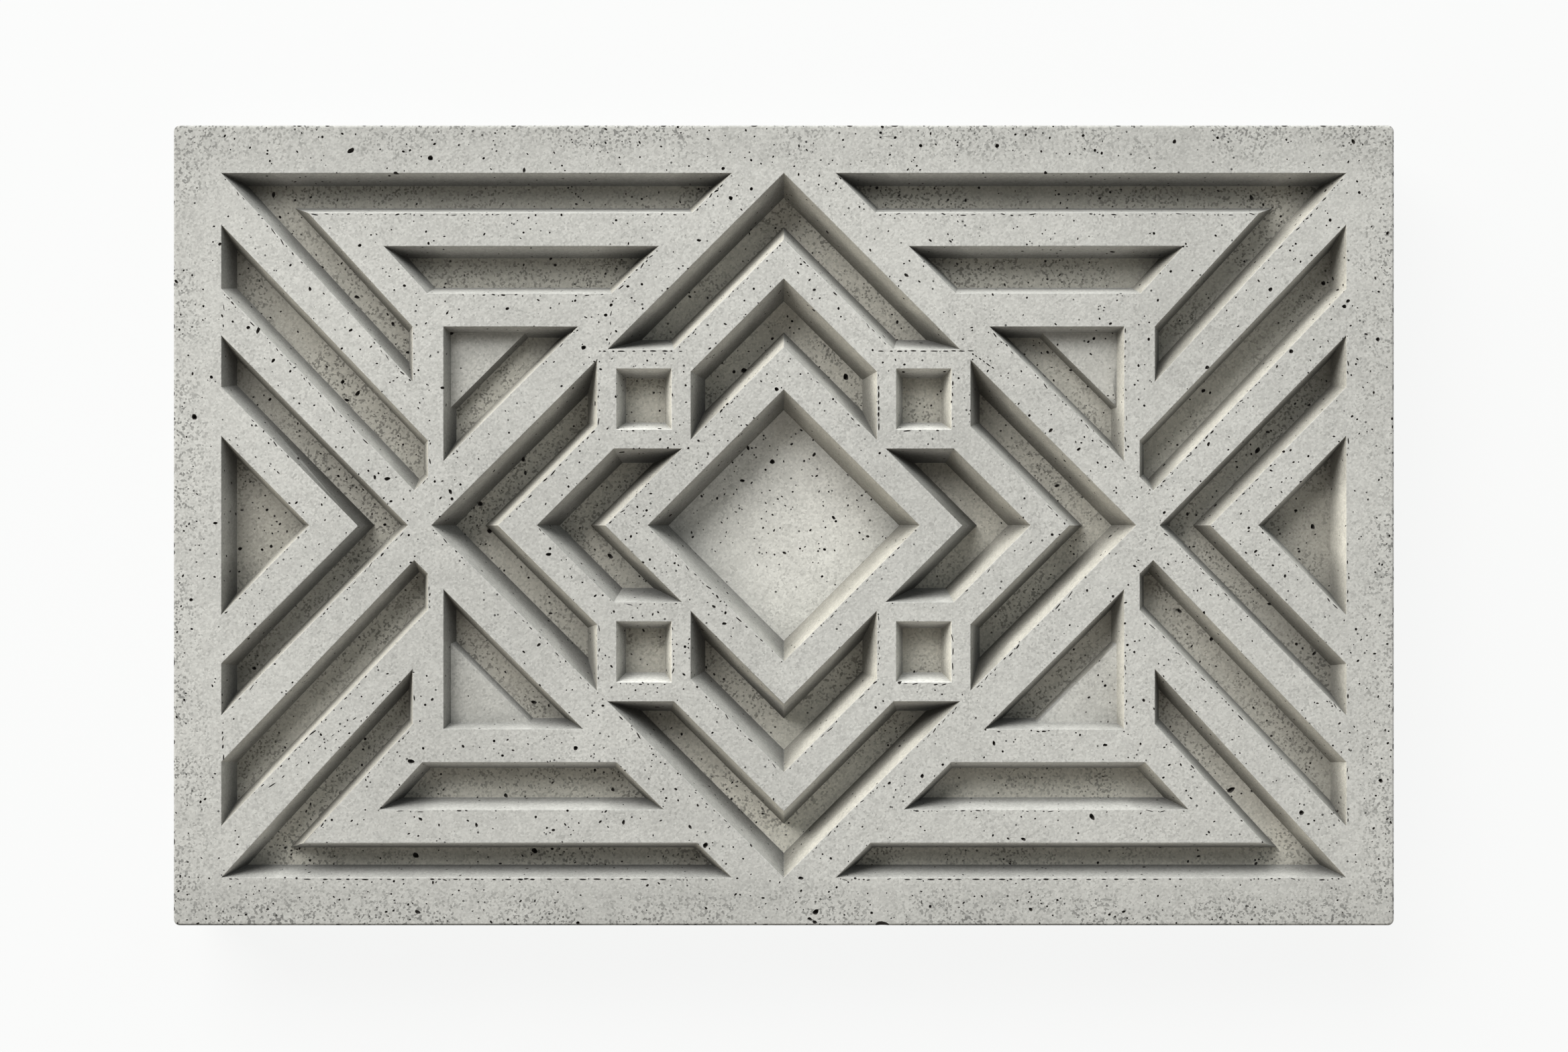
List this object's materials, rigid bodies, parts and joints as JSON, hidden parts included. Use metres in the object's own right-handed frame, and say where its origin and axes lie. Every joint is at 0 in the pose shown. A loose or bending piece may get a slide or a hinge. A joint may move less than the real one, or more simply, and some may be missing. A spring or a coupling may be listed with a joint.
{
  "type": "concrete relief panel",
  "caption": "Rectangular cast concrete slab with a sunk geometric relief: nested diamond grooves, square blocks, slanted bars, triangular pockets and chevron grooves.",
  "frame": {"origin": "centre of the back face, which the slab rests on", "axes": "+X along the slab's length, +Y along its height when hung on a wall, +Z out of the relief face"},
  "size_m": [0.61, 0.4, 0.05],
  "materials": {
    "concrete": "fair-faced grey cast concrete with small bug holes"
  },
  "bodies": {
    "root": {"relief_panel": "concrete"}
  },
  "joints": []
}
